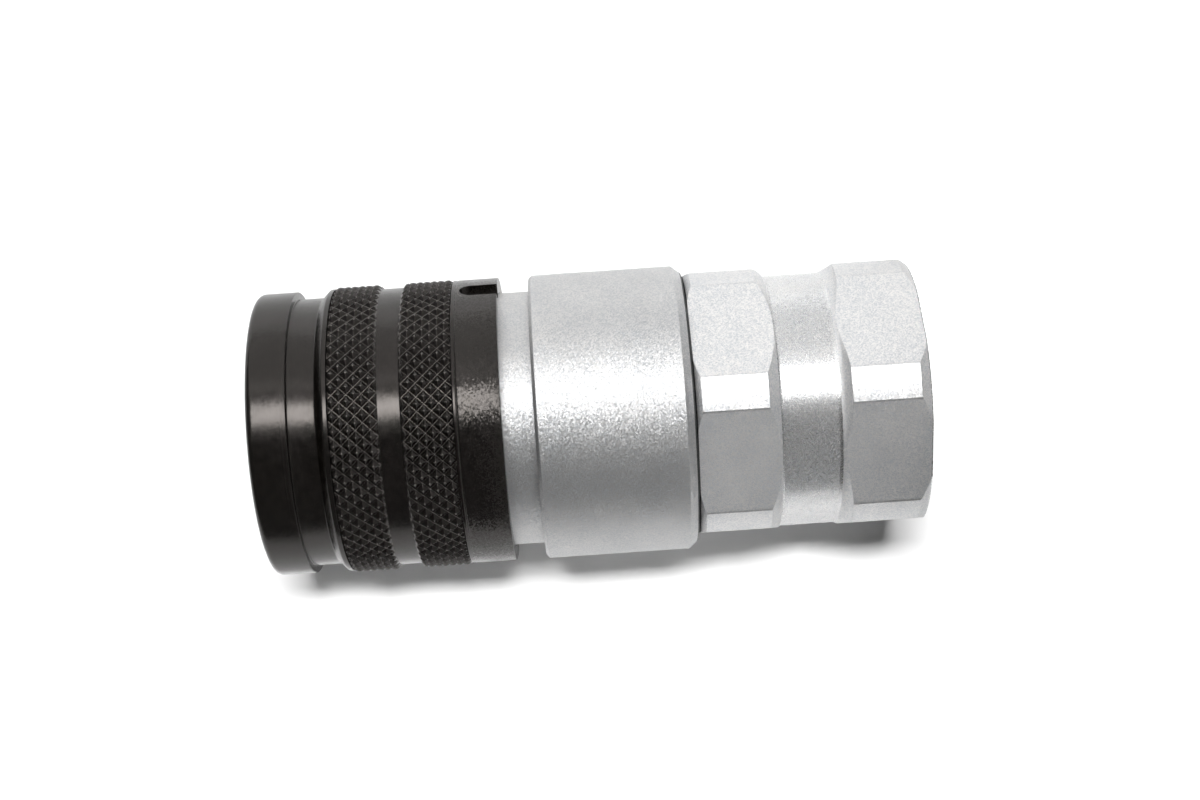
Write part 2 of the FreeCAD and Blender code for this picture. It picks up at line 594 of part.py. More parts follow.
def make_release_sleeve():
    """Turned blank and its two knurled bands, joined into one piece."""
    sleeve = document.addObject("Part::MultiFuse", "release_sleeve")
    sleeve.Label = "release_sleeve"
    sleeve.Shapes = [
        make_sleeve_blank(),
        make_knurled_band("rear_knurl", "rear_ring_length", "rear_knurl_length"),
        make_knurled_band("front_knurl", "band_groove_top", "front_knurl_length"),
    ]
    sleeve.Refine = False
    sleeve.setExpression("Placement.Base.z", bound("sleeve_rear"))
    return sleeve


# Valve

def make_valve_tube():
    """Spring-loaded tube that closes on the stem head and is pushed back by the probe."""
    body = add_body("valve_tube", "tube_height")
    revolve(body, [
        ("tube_bore_dia / 2", "0"),
        ("probe_dia / 2 - edge_break", "0"),
        ("probe_dia / 2", "edge_break"),
        ("probe_dia / 2", "tube_tail_length"),
        ("flange_dia / 2", "tube_tail_length"),
        ("flange_dia / 2", "tube_flange_top"),
        ("probe_dia / 2", "tube_flange_top"),
        ("probe_dia / 2", "tube_length - edge_break"),
        ("probe_dia / 2 - edge_break", "tube_length"),
        ("tube_lip_dia / 2", "tube_length"),
        ("tube_lip_dia / 2", "tube_lip_bottom"),
        ("tube_bore_dia / 2", "tube_cone_bottom"),
    ])
    return body


def make_valve_stem():
    """Fixed stem: flat head with its seal groove, cone, shaft and threaded tail."""
    body = add_body("valve_stem", "stem_height")
    revolve(body, [
        ("0", "0"),
        ("tail_dia / 2 - edge_break", "0"),
        ("tail_dia / 2", "edge_break"),
        ("tail_dia / 2", "tail_length"),
        ("stem_dia / 2", "tail_length"),
        ("stem_dia / 2", "head_cone_bottom"),
        ("head_dia / 2", "head_bottom"),
        ("head_dia / 2", "stem_groove_bottom"),
        ("stem_groove_dia / 2", "stem_groove_bottom"),
        ("stem_groove_dia / 2", "stem_groove_top"),
        ("head_dia / 2", "stem_groove_top"),
        ("head_dia / 2", "stem_length - edge_break / 2"),
        ("head_dia / 2 - edge_break / 2", "stem_length"),
        ("0", "stem_length"),
    ])
    return body


def make_spider():
    """Perforated disc that carries the stem and lets the oil past."""
    body = add_body("spider", "spider_seat")
    revolve(body, [
        ("tail_dia / 2 + fit_gap", "0"),
        ("spider_dia / 2", "0"),
        ("spider_dia / 2", "spider_thickness"),
        ("tail_dia / 2 + fit_gap", "spider_thickness"),
    ])
    sketch = add_sketch(body, "Flow_hole", "XY_Plane")
    draw_circle(sketch, "flow_hole_dia", "flow_ring_dia / 2")
    hole = cut_through(body, sketch, "Flow_hole_bore")
    repeat_round(body, hole, "flow_hole_count")
    return body


def make_stem_nut():
    """Nut on the stem's tail, seated against the rear of the spider."""
    body = add_body("stem_nut", "spider_seat - nut_height")
    revolve(body, [
        ("tail_dia / 2 + seal_gap", "0"),
        ("nut_across_flats / 2", "0"),
        ("nut_across_flats / sqrt(3)", "nut_chamfer / 2"),
        ("nut_across_flats / sqrt(3)", "nut_height"),
        ("tail_dia / 2 + seal_gap", "nut_height"),
    ])
    mill_hexagon(body, "nut_across_flats", "nut_height")
    return body


# Rings

def make_ring(label, height, inner_dia, outer_dia, thickness, opening=None):
    """Flat ring, or a C-shaped one where an opening angle is given."""
    body = add_body(label, height)
    revolve(body, [
        (f"({inner_dia}) / 2", "0"),
        (f"({outer_dia}) / 2", "0"),
        (f"({outer_dia}) / 2", thickness),
        (f"({inner_dia}) / 2", thickness),
    ], opening)
    return body


def make_oring(label, height, ring_dia, cord_dia):
    """Round seal whose cord lies around the axis at the given height."""
    ring = document.addObject("Part::Torus", label)
    ring.Label = label
    ring.setExpression("Radius1", bound(f"{ring_dia} / 2"))
    ring.setExpression("Radius2", bound(f"{cord_dia} / 2"))
    ring.setExpression("Placement.Base.z", bound(height))
    return ring


# Balls and springs

def make_ball(label, dia, ring_dia, height, angle):
    """Ball on a circle around the axis, at the given angle from X in degrees."""
    ball = document.addObject("Part::Sphere", label)
    ball.Label = label
    ball.setExpression("Radius", bound(f"{dia} / 2"))
    ball.setExpression("Placement.Base.x", f"{bound(ring_dia)} / 2 * cos({angle} deg)")
    ball.setExpression("Placement.Base.y", f"{bound(ring_dia)} / 2 * sin({angle} deg)")
    ball.setExpression("Placement.Base.z", bound(height))
    return ball


def make_locking_balls():
    count = int(value("ball_count"))
    return [
        make_ball(
            f"locking_ball_{number + 1:02d}",
            "ball_dia",
            "ball_ring_dia",
            "shoulder + ball_row",
            number * 360 / count,
        )
        for number in range(count)
    ]


def make_spring(label, bottom, length, ring_dia, wire_dia, turns):
    """Compression spring that reaches from one seat to the other, in short straight lengths.

    The corners of its path lie as far outside the ring as the middles of the lengths lie inside.
    """
    rise = value(f"{length} - {wire_dia} - seal_gap")
    steps = round(value(turns) * COIL_SIDES)
    radius = value(ring_dia) / (1 + math.cos(math.pi / COIL_SIDES))
    points = []
    for step in range(steps + 1):
        angle = 2 * math.pi * step / COIL_SIDES
        points.append(Vector(radius * math.cos(angle), radius * math.sin(angle), rise * step / steps))
    path = document.addObject("Part::Feature", f"{label}_path")
    path.Shape = Part.makePolygon(points)
    section = document.addObject("Part::Circle", f"{label}_section")
    section.setExpression("Radius", bound(f"{wire_dia} / 2"))
    section.Placement = Placement(points[0], Rotation(Vector(0, 0, 1), points[1] - points[0]))
    spring = document.addObject("Part::Sweep", label)
    spring.Label = label
    spring.Sections = [section]
    spring.Spine = (path, [])
    spring.Solid = True
    spring.Transition = "Right corner"
    spring.setExpression("Placement.Base.z", bound(f"{bottom} + ({wire_dia} + seal_gap) / 2"))
    return spring


# Assembly

pieces = [
    make_port_adapter(),
    make_coupler_body(),
    make_release_sleeve(),
    make_valve_tube(),
    make_valve_stem(),
    make_spider(),
    make_stem_nut(),
    make_ring(
        "spring_seat_ring", "seat_ring_height",
        "spigot_dia + 2 * slide_gap", "sleeve_bore_dia - 2 * slide_gap", "seat_ring_thickness",
    ),
    make_ring(
        "nose_snap_ring", "shoulder + ring_groove_bottom",
        "ring_groove_dia + 2 * fit_gap", "snap_ring_dia", "snap_ring_thickness", "circlip_opening",
    ),
    make_ring(
        "spider_circlip", "spider_top",
        "circlip_inner_dia", "circlip_groove_dia - 2 * fit_gap", "circlip_thickness",
        "circlip_opening",
    ),
    make_ring(
        "stem_seal", "stem_height + stem_groove_bottom",
        "stem_groove_dia + 2 * seal_gap", "head_dia", "stem_groove_width - seal_gap",
    ),
    make_ring(
        "probe_backup_ring", "shoulder + seal_groove_top - backup_width",
        "socket_dia + 2 * seal_gap", "seal_groove_dia - 2 * seal_gap", "backup_width",
    ),
    make_oring(
        "probe_oring", "shoulder + (seal_groove_bottom + seal_groove_top - backup_width) / 2",
        "oring_ring_dia", "oring_dia",
    ),
    make_oring(
        "adapter_oring", "(nose_groove_bottom + nose_groove_top) / 2",
        "nose_oring_ring_dia", "nose_oring_dia",
    ),
    make_spring(
        "sleeve_spring", "shoulder + spring_step", "sleeve_spring_height",
        "sleeve_spring_dia", "sleeve_wire_dia", "sleeve_spring_turns",
    ),
    make_spring(
        "tube_spring", "spider_top", "tube_spring_height",
        "tube_spring_dia", "tube_wire_dia", "tube_spring_turns",
    ),
    make_ball("lock_ball", "lock_ball_dia", "lock_ball_ring_dia", "shoulder + lock_ball_row", 180),
    *make_locking_balls(),
]
document.recompute()


# Checks and files

for item in document.Objects:
    if "Invalid" in item.State or "Error" in item.State:
        raise RuntimeError(f"{item.Label} is {item.State}")

os.makedirs("parts", exist_ok=True)
for piece in pieces:
    shape = piece.Shape
    if shape.isNull() or not shape.isValid() or len(shape.Solids) != 1:
        raise RuntimeError(f"{piece.Label} is not one sound solid")
    shape.exportStep(f"parts/{piece.Label}.step")
    box = shape.BoundBox
    print(
        f"{piece.Label:20s} volume {shape.Volume:9.2f}  z {box.ZMin:6.2f} to {box.ZMax:6.2f}"
        f"  half width {box.XMax:6.2f}"
    )
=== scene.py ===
import bpy
import json
import math
from mathutils import Matrix, Vector


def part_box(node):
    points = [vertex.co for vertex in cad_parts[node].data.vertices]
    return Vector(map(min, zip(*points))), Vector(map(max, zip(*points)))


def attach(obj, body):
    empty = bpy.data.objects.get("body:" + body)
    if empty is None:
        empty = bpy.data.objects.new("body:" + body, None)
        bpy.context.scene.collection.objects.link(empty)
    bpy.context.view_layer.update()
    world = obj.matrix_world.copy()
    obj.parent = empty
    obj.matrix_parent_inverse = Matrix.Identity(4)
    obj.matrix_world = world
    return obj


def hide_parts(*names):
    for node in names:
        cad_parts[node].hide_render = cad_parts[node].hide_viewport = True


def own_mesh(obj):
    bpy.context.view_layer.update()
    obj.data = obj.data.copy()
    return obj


# Looks of the flat face quick coupler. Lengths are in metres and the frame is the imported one:
# Z is the coupler's axis and runs from the port face, at 0, to the mouth.

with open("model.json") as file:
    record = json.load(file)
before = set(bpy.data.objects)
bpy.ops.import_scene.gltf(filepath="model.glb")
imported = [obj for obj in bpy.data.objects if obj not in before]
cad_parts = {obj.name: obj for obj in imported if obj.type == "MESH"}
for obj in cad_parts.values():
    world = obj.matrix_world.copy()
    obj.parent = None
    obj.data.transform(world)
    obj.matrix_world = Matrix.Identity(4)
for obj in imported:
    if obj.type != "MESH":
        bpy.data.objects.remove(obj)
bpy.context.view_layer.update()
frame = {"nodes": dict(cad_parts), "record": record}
nodes = frame["nodes"]
MM = 0.001


# Camera

LENS_MM = 55.27
SENSOR_MM = 36.0
CAMERA_SIDE_DEG = -64.57
CAMERA_ROLL_DEG = 3.89
CAMERA_YAW_DEG = 0.28
AIM_HEIGHT = 49.55 * MM
AIM_OFFSET = Vector((-7.86, -2.22, -248.05)) * MM


def make_camera():
    """Camera beside the coupler, turned so that the mouth lies to the left of the picture."""
    side = math.radians(CAMERA_SIDE_DEG)
    back = Vector((math.cos(side), math.sin(side), 0))
    right = Vector((0, 0, -1))
    up = back.cross(right)
    level = Matrix((right, up, back)).transposed()
    yaw = Matrix.Rotation(-math.radians(CAMERA_YAW_DEG), 3, "Y")
    roll = Matrix.Rotation(-math.radians(CAMERA_ROLL_DEG), 3, "Z")
    turn = level @ yaw @ roll
    place = Vector((0, 0, AIM_HEIGHT)) - turn @ AIM_OFFSET
    data = bpy.data.cameras.new("camera")
    data.lens = LENS_MM
    data.sensor_width = SENSOR_MM
    data.clip_start = 10 * MM
    camera = bpy.data.objects.new("camera", data)
    camera.matrix_world = Matrix.Translation(place) @ turn.to_4x4()
    bpy.context.scene.collection.objects.link(camera)
    bpy.context.scene.camera = camera
    return right, up, back


# Node helpers

class Nodes:
    """A material or world node tree that is filled node by node."""

    def __init__(self, owner):
        owner.use_nodes = True
        self.tree = owner.node_tree
        self.tree.nodes.clear()

    def add(self, kind, inputs=(), **settings):
        """A node with its settings, and its inputs set to values or linked to other sockets."""
        node = self.tree.nodes.new(kind)
        for name, content in settings.items():
            setattr(node, name, content)
        for name, content in dict(inputs).items():
            socket = node.inputs[name]
            if isinstance(content, bpy.types.NodeSocket):
                self.tree.links.new(content, socket)
            else:
                socket.default_value = content
        return node

    def math(self, operation, first, second=0.0):
        """Result of an operation on one or two values."""
        return self.add("ShaderNodeMath", {0: first, 1: second}, operation=operation).outputs[0]

    def line(self, value, slope, start):
        """The value times a slope, from a start."""
        return self.math("ADD", self.math("MULTIPLY", value, slope), start)

    def near(self, value, middle, reach):
        """1 where the value lies within reach of the middle, 0 elsewhere."""
        return self.math("LESS_THAN", self.math("ABSOLUTE", self.math("SUBTRACT", value, middle)), reach)

    def vector(self, operation, inputs):
        """Result of an operation on vectors."""
        return self.add("ShaderNodeVectorMath", inputs, operation=operation).outputs[0]

    def noise(self, place, scale, detail=2.0, roughness=0.5):
        """Grey noise at a place, its scale in grains a metre."""
        inputs = {"Vector": place, "Scale": scale, "Detail": detail, "Roughness": roughness}
        return self.add("ShaderNodeTexNoise", inputs).outputs[0]

    def turning_marks(self, radius, height, scale, detail=2.0):
        """Grey noise that is the same all round the coupler's axis."""
        place = self.add("ShaderNodeCombineXYZ", {0: radius, 2: height}).outputs[0]
        return self.noise(place, scale, detail)

    def bump(self, height, strength, distance, **normal):
        """Surface direction over a relief."""
        inputs = {"Height": height, "Strength": strength, "Distance": distance, **normal}
        return self.add("ShaderNodeBump", inputs).outputs[0]

    def ramp(self, factor, stops):
        """Colour ramp from (position, grey or colour) stops."""
        node = self.add("ShaderNodeValToRGB", {"Fac": factor})
        elements = node.color_ramp.elements
        while len(elements) < len(stops):
            elements.new(1.0)
        for element, (position, colour) in zip(elements, stops):
            element.position = position
            element.color = (*colour, 1) if isinstance(colour, tuple) else (colour,) * 3 + (1,)
        return node.outputs["Color"]


def paint(node_name, material):
    """Give a CAD node its material."""
    slots = nodes[node_name].data.materials
    slots.clear()
    slots.append(material)


# Materials

EDGE_SOFTNESS = 0.16 * MM
EDGE_SAMPLES = 4
RELIEF_DEPTH = 0.04 * MM
ROUGHNESS_SPREAD = 0.2
FINE_SCALE = 5200.0

ZINC_LOW = (0.57, 0.585, 0.605)
ZINC_HIGH = (0.76, 0.75, 0.74)
ZINC_TONES = [(0.2, ZINC_LOW), (0.75, ZINC_HIGH)]
ZINC_SHADE = 0.88
ZINC_BUMP = 0.14
ZINC_TILT = 0.26
ZINC_ROUGHNESS = 0.48
CLOUD_SCALE = 160.0
CLOUD_SHARE = 0.45
ZINC_CRYSTALS = 7000.0
RING_MARKS = 0.3

HEX_MIDDLES = (5.75 * MM, 24.65 * MM)
HEX_HALF_LENGTH = 5.6 * MM
HEX_SHADE = 1.02
CORNER_STRIP = 18.4 * MM
CORNER_FADE = 0.6
SMOOTH_TILT = 0.03
MILLED_TILT = 0.22
SMOOTH_ROUGHNESS = 0.26
MILLED_ROUGHNESS = 0.34
MILLED_LIFT = 0.14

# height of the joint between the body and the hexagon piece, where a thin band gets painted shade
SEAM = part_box("coupler_body")[0].z
SEAM_HALF = 0.2 * MM
SEAM_PAINTED_SHADE = 0.85

BLACK_LOW = (0.0013, 0.0011, 0.0009)
BLACK_HIGH = (0.004, 0.0034, 0.0029)
BLACK_TONES = [(0.3, BLACK_LOW), (0.7, BLACK_HIGH)]
BLACK_BUMP = 0.35
BLACK_ROUGHNESS = 0.10
BLACK_GLOSS = 0.54
WARM_GLOSS = (1.0, 0.93, 0.88, 1)
PEEL_SCALE = 900.0
PEEL_RELIEF = 0.6
BLACK_MARKS_SCALE = 4200.0
BLACK_MARKS_RELIEF = 1.1
BLACK_MARKS_WIDTH = 0.3
BLACK_CRYSTALS = 5400.0
KNURL_SOFTNESS = 0.11 * MM
PLAIN_TILT = 0.02
RING_TILT = 0.12
# painted highlight: a brighter metal finish for the knurl's groove bottoms and diamond tips
KNURL_SHEEN_COLOUR = (0.22, 0.205, 0.19, 1)
KNURL_SHEEN_ROUGHNESS = 0.24
KNURL_SHEEN_SHARE = 0.8

STEEL_MARKS_SCALE = 6000.0
STEEL_CLOUDS_SCALE = 400.0
STEEL_BUMP = 0.25
STEEL_RELIEF = 0.02 * MM
STEEL_DARK = 0.88
STEEL_SPREAD = 0.15
STEEL_SMOOTHER = 0.07

MOTTLE_SCALE = 1500.0
MOTTLE_BUMP = 0.2
MOTTLE_RELIEF = 0.03 * MM
MOTTLE_DARK = 0.8


def radius_and_height(tree):
    """Distance from the coupler's axis, height on it, and the place itself."""
    place = tree.add("ShaderNodeTexCoord").outputs["Object"]
    parts = tree.add("ShaderNodeSeparateXYZ", {0: place}).outputs
    first, second = (tree.math("MULTIPLY", part, part) for part in parts[:2])
    return tree.math("SQRT", tree.math("ADD", first, second)), parts[2], place


def edge_normal(tree, radius):
    """Surface direction that turns softly at edges, as broken edges do."""
    return tree.add("ShaderNodeBevel", {"Radius": radius}, samples=EDGE_SAMPLES).outputs[0]


def crystal_normal(tree, cells, normal, tilt):
    """Surface direction of small crystals, each tilted its own way."""
    centred = tree.vector("SUBTRACT", {0: cells, 1: (0.5, 0.5, 0.5)})
    lean = tree.vector("SCALE", {0: centred, "Scale": tilt})
    return tree.vector("NORMALIZE", {0: tree.vector("ADD", {0: normal, 1: lean})})


def zinc_material(name, shade=ZINC_SHADE, flats=False):
    """Plated steel: small crystals that sparkle, faint turning marks and a cloudy tone.

    On the hexagon piece the milled flats are matt and bright, and the turned parts are smooth.
    """
    material = bpy.data.materials.new(name)
    tree = Nodes(material)
    radius, height, place = radius_and_height(tree)
    clouds = tree.noise(place, CLOUD_SCALE, detail=4.0)
    grain = tree.noise(place, FINE_SCALE, roughness=0.6)
    rings = tree.turning_marks(0.0, height, FINE_SCALE)
    relief = tree.math("ADD", grain, tree.math("MULTIPLY", rings, RING_MARKS))
    tilt = ZINC_TILT
    roughness = ZINC_ROUGHNESS
    lift = shade
    if flats:
        rows = [tree.near(height, middle, HEX_HALF_LENGTH) for middle in HEX_MIDDLES]
        strip = tree.math("MULTIPLY", tree.math("GREATER_THAN", radius, CORNER_STRIP), CORNER_FADE)
        flat = tree.math("MULTIPLY", tree.math("ADD", *rows), tree.math("SUBTRACT", 1.0, strip))
        tilt = tree.line(flat, MILLED_TILT, SMOOTH_TILT)
        roughness = tree.line(flat, MILLED_ROUGHNESS, SMOOTH_ROUGHNESS)
        lift = tree.line(flat, MILLED_LIFT * shade, shade)
    bumped = tree.bump(relief, ZINC_BUMP, RELIEF_DEPTH, Normal=edge_normal(tree, EDGE_SOFTNESS))
    cells = tree.add("ShaderNodeTexVoronoi", {"Vector": place, "Scale": ZINC_CRYSTALS}).outputs["Color"]
    spark = tree.add("ShaderNodeSeparateColor", {0: cells}).outputs[2]
    mixed = tree.line(clouds, CLOUD_SHARE, tree.math("MULTIPLY", spark, 1 - CLOUD_SHARE))
    tone = tree.ramp(mixed, ZINC_TONES)
    # painted shade: the base colour is darkened in a thin band at the joint between the body and the
    # hexagon piece, for the shade in the gap there
    seam_shade = tree.near(height, SEAM, SEAM_HALF)
    lift = tree.math("MULTIPLY", lift, tree.line(seam_shade, -SEAM_PAINTED_SHADE, 1.0))
    smoothest = tree.math("SUBTRACT", roughness, ROUGHNESS_SPREAD / 2)
    shader = tree.add(
        "ShaderNodeBsdfPrincipled",
        {
            "Base Color": tree.vector("SCALE", {0: tone, "Scale": lift}),
            "Metallic": 1.0,
            "Roughness": tree.line(grain, ROUGHNESS_SPREAD, smoothest),
            "Normal": crystal_normal(tree, cells, bumped, tilt),
        },
    )
    tree.add("ShaderNodeOutputMaterial", {"Surface": shader.outputs[0]})
    return material


def black_material():
    """Glossy black plating over turned steel, with turning marks, and specks on the rear ring."""
    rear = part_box("release_sleeve")[0].z
    material = bpy.data.materials.new("black_plating")
    tree = Nodes(material)
    radius, height, place = radius_and_height(tree)
    across = tree.math("MULTIPLY", radius, BLACK_MARKS_WIDTH)
    marks = tree.turning_marks(across, height, BLACK_MARKS_SCALE, detail=3.0)
    peel = tree.noise(place, PEEL_SCALE, detail=3.0, roughness=0.6)
    relief = tree.line(marks, BLACK_MARKS_RELIEF, tree.math("MULTIPLY", peel, PEEL_RELIEF))
    bumped = tree.bump(relief, BLACK_BUMP, RELIEF_DEPTH, Normal=edge_normal(tree, KNURL_SOFTNESS))
    ring = tree.math("LESS_THAN", height, rear + LINE_AT * MM)
    cells = tree.add("ShaderNodeTexVoronoi", {"Vector": place, "Scale": BLACK_CRYSTALS}).outputs["Color"]
    plating = tree.add(
        "ShaderNodeBsdfPrincipled",
        {
            "Base Color": tree.ramp(peel, BLACK_TONES),
            "Metallic": 0.0,
            "Roughness": tree.line(peel, ROUGHNESS_SPREAD, BLACK_ROUGHNESS),
            "Specular IOR Level": BLACK_GLOSS,
            "Specular Tint": WARM_GLOSS,
            "Normal": crystal_normal(tree, cells, bumped, tree.line(ring, RING_TILT, PLAIN_TILT)),
        },
    ).outputs[0]
    # painted highlight: the knurl's groove bottoms and diamond tips get a brighter metal finish,
    # for the light their rounded shapes catch (the notch's walls have no share and read 0)
    share = tree.add("ShaderNodeAttribute", attribute_name="knurl_share").outputs["Fac"]
    groove = tree.near(share, SHARE_START, GROOVE_SHARE)
    tip = tree.math("GREATER_THAN", share, SHARE_START + TIP_SHARE)
    metal = tree.add(
        "ShaderNodeBsdfPrincipled",
        {"Base Color": KNURL_SHEEN_COLOUR, "Metallic": 1.0, "Roughness": KNURL_SHEEN_ROUGHNESS, "Normal": bumped},
    ).outputs[0]
    sheen_share = tree.math("MULTIPLY", tree.math("ADD", groove, tip), KNURL_SHEEN_SHARE)
    shader = tree.add("ShaderNodeMixShader", {0: sheen_share, 1: plating, 2: metal})
    tree.add("ShaderNodeOutputMaterial", {"Surface": shader.outputs[0]})
    return material


def darker(colour, share):
    """A share of the colour's light."""
    return tuple(share * part for part in colour)


def smooth_steel_material(name, colour, roughness):
    """Turned or drawn steel with fine marks and small changes of gloss."""
    material = bpy.data.materials.new(name)
    tree = Nodes(material)
    radius, height, place = radius_and_height(tree)
    marks = tree.turning_marks(radius, height, STEEL_MARKS_SCALE)
    clouds = tree.noise(place, STEEL_CLOUDS_SCALE, detail=3.0)
    bumped = tree.bump(marks, STEEL_BUMP, STEEL_RELIEF)
    tone = tree.ramp(clouds, [(0.3, darker(colour, STEEL_DARK)), (0.7, colour)])
    dull = tree.line(clouds, STEEL_SPREAD, roughness - STEEL_SMOOTHER)
    shader = tree.add(
        "ShaderNodeBsdfPrincipled",
        {"Base Color": tone, "Metallic": 1.0, "Roughness": dull, "Normal": bumped},
    )
    tree.add("ShaderNodeOutputMaterial", {"Surface": shader.outputs[0]})
    return material


def soft_material(name, colour, roughness):
    """Rubber or plastic with a faint mottle."""
    material = bpy.data.materials.new(name)
    tree = Nodes(material)
    place = tree.add("ShaderNodeTexCoord").outputs["Object"]
    mottle = tree.noise(place, MOTTLE_SCALE, detail=3.0)
    bumped = tree.bump(mottle, MOTTLE_BUMP, MOTTLE_RELIEF)
    tone = tree.ramp(mottle, [(0.3, darker(colour, MOTTLE_DARK)), (0.7, colour)])
    shader = tree.add(
        "ShaderNodeBsdfPrincipled",
        {"Base Color": tone, "Roughness": roughness, "Normal": bumped},
    )
    tree.add("ShaderNodeOutputMaterial", {"Surface": shader.outputs[0]})
    return material


# Turned meshes

COLUMNS_PER_DIAMOND = 8
DIAMONDS = 64
COLUMNS = COLUMNS_PER_DIAMOND * DIAMONDS
KNURL_DEPTH = 0.5 * MM
KNURL_TIP = 0.82
GROOVE_SHARE = 0.075
TIP_SHARE = 0.86
PLAIN_SHARE = 0.5
SHARE_START = 1.0
KNURL_EDGE = 0.03 * MM
KNURL_CHAMFER = 1.2
EDGE_ROUND = 0.12 * MM
ROUND_STEPS = 3
ROUND_POINTS = ROUND_STEPS + 1
ROUND_ROOM = 2.2


def rounded(corners, size):
    """The closed outline with each sharp corner turned into a short arc, smaller on short edges."""
    points = []
    corners = [Vector(corner) for corner in corners]
    for before, here, after in zip(corners[-1:] + corners[:-1], corners, corners[1:] + corners[:1]):
        reach = min(size, (before - here).length / ROUND_ROOM, (after - here).length / ROUND_ROOM)
        start = here + (before - here).normalized() * reach
        end = here + (after - here).normalized() * reach
        for step in range(ROUND_POINTS):
            share = step / ROUND_STEPS
            one = start.lerp(here, share)
            two = here.lerp(end, share)
            points.append(tuple(one.lerp(two, share)))
    return points


def knurl_rows(bottom, top, radius, edge_radius):
    """Rings of a knurled band: 45 degree diamonds, cut off by a chamfer at both edges."""
    step = 2 * math.pi * radius / COLUMNS
    count = round((top - bottom) / step)
    rings = []
    for row in range(count + 1):
        height = bottom + (top - bottom) * row / count
        limit = edge_radius + min(height - bottom, top - height) * KNURL_CHAMFER + KNURL_EDGE
        radii = []
        shares = []
        for column in range(COLUMNS):
            rising = ((column + row) / COLUMNS_PER_DIAMOND) % 1.0
            falling = ((column - row) / COLUMNS_PER_DIAMOND) % 1.0
            share = 2 * min(rising, 1 - rising, falling, 1 - falling)
            lift = min(share, KNURL_TIP) / KNURL_TIP
            radii.append(min(radius - KNURL_DEPTH * (1 - lift), limit))
            shares.append(share)
        rings.append((radii, height, shares))
    return rings


def turn_mesh(name, rings):
    """Closed mesh from rings of (radius or radii, height), joined in order and back to the first.

    A third item gives each point's share of the way from a knurl groove to a diamond's middle.
    """
    angles = (2 * math.pi * column / COLUMNS for column in range(COLUMNS))
    columns = [(math.cos(angle), math.sin(angle)) for angle in angles]
    points = []
    shares = []
    for radii, height, *given in rings:
        shares.extend(given[0] if given else [PLAIN_SHARE] * COLUMNS)
        sizes = radii if isinstance(radii, list) else [radii] * COLUMNS
        points.extend((size * x, size * y, height) for size, (x, y) in zip(sizes, columns))
    faces = []
    for ring in range(len(rings)):
        low = ring * COLUMNS
        high = (ring + 1) % len(rings) * COLUMNS
        for column in range(COLUMNS):
            after = (column + 1) % COLUMNS
            a, b, c, d = low + column, low + after, high + after, high + column
            # the diagonal follows the knurl's crease lines
            if (column + ring) % 2:
                faces.append((a, b, d))
                faces.append((b, c, d))
            else:
                faces.append((a, b, c))
                faces.append((a, c, d))
    mesh = bpy.data.meshes.new(name)
    mesh.from_pydata(points, [], faces)
    stored = mesh.attributes.new("knurl_share", "FLOAT", "POINT")
    stored.data.foreach_set("value", [SHARE_START + share for share in shares])
    mesh.validate()
    return mesh


def add_piece(name, mesh, material, body, smooth_deg=30):
    """A shown piece that rides on a body."""
    mesh.materials.append(material)
    mesh.polygons.foreach_set("use_smooth", [True] * len(mesh.polygons))
    mesh.set_sharp_from_angle(angle=math.radians(smooth_deg))
    piece = bpy.data.objects.new(name, mesh)
    bpy.context.scene.collection.objects.link(piece)
    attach(piece, body)
    return piece


# Release sleeve, in millimetres from its rear edge

REAR_RING = 18.97
LINE_AT = 5.45
LINE_DEPTH = 0.12
REAR_KNURL = (5.8, 12.6)
FRONT_KNURL = (15.4, 21.8)
KNURL_RADIUS = 19.1
BAND_GROOVE = 18.5
THIN_RING = 18.9
THIN_RING_TOP = 23.3
SLEEVE_NECK = 17.85
COLLAR = 18.85
COLLAR_BOTTOM = 26.8
COLLAR_ROUND = 0.9
COLLAR_STEPS = 6
SLEEVE_TOP = 31.95
RECESS = 16.45
CAM_TOP = 23.7
LAND = 15.15
LAND_TOP = 22.4
LAND_BOTTOM = 17.95
SLEEVE_BORE = 17.0
NOTCH_WIDTH = 3.35
NOTCH_DEPTH = 4.9
NOTCH_STEPS = 16
CUTTER_REACH = 1.5 * REAR_RING * MM


def sleeve_rings(rear):
    """Rings of the sleeve from its rear edge, up the outside and down the inside."""
    def placed(points):
        return [(radius * MM, rear + height * MM) for radius, height in rounded(points, EDGE_ROUND / MM)]

    rim = [
        (COLLAR - COLLAR_ROUND * (1 - math.cos(angle)), SLEEVE_TOP - COLLAR_ROUND * (1 - math.sin(angle)))
        for angle in (math.pi / 2 * step / COLLAR_STEPS for step in range(COLLAR_STEPS + 1))
    ]
    below = [
        (SLEEVE_BORE, 0), (REAR_RING, 0), (REAR_RING, LINE_AT - LINE_DEPTH),
        (REAR_RING - LINE_DEPTH, LINE_AT), (REAR_RING, LINE_AT + LINE_DEPTH), (REAR_RING, REAR_KNURL[0]),
    ]
    between = [(BAND_GROOVE, REAR_KNURL[1]), (BAND_GROOVE, FRONT_KNURL[0])]
    above = [
        (THIN_RING, FRONT_KNURL[1]), (THIN_RING, THIN_RING_TOP - THIN_RING + SLEEVE_NECK),
        (SLEEVE_NECK, THIN_RING_TOP), (SLEEVE_NECK, COLLAR_BOTTOM), (COLLAR, COLLAR_BOTTOM),
    ]
    inside = [
        (RECESS, SLEEVE_TOP), (RECESS, CAM_TOP), (LAND, LAND_TOP),
        (LAND, LAND_BOTTOM), (SLEEVE_BORE, LAND_BOTTOM),
    ]
    outline = placed(below + between + above + rim + inside)
    first = ROUND_POINTS * len(below)
    second = first + ROUND_POINTS * len(between)
    bands = [
        knurl_rows(rear + low * MM, rear + high * MM, KNURL_RADIUS * MM, BAND_GROOVE * MM)
        for low, high in (REAR_KNURL, FRONT_KNURL)
    ]
    return outline[:first] + bands[0] + outline[first:second] + bands[1] + outline[second:]


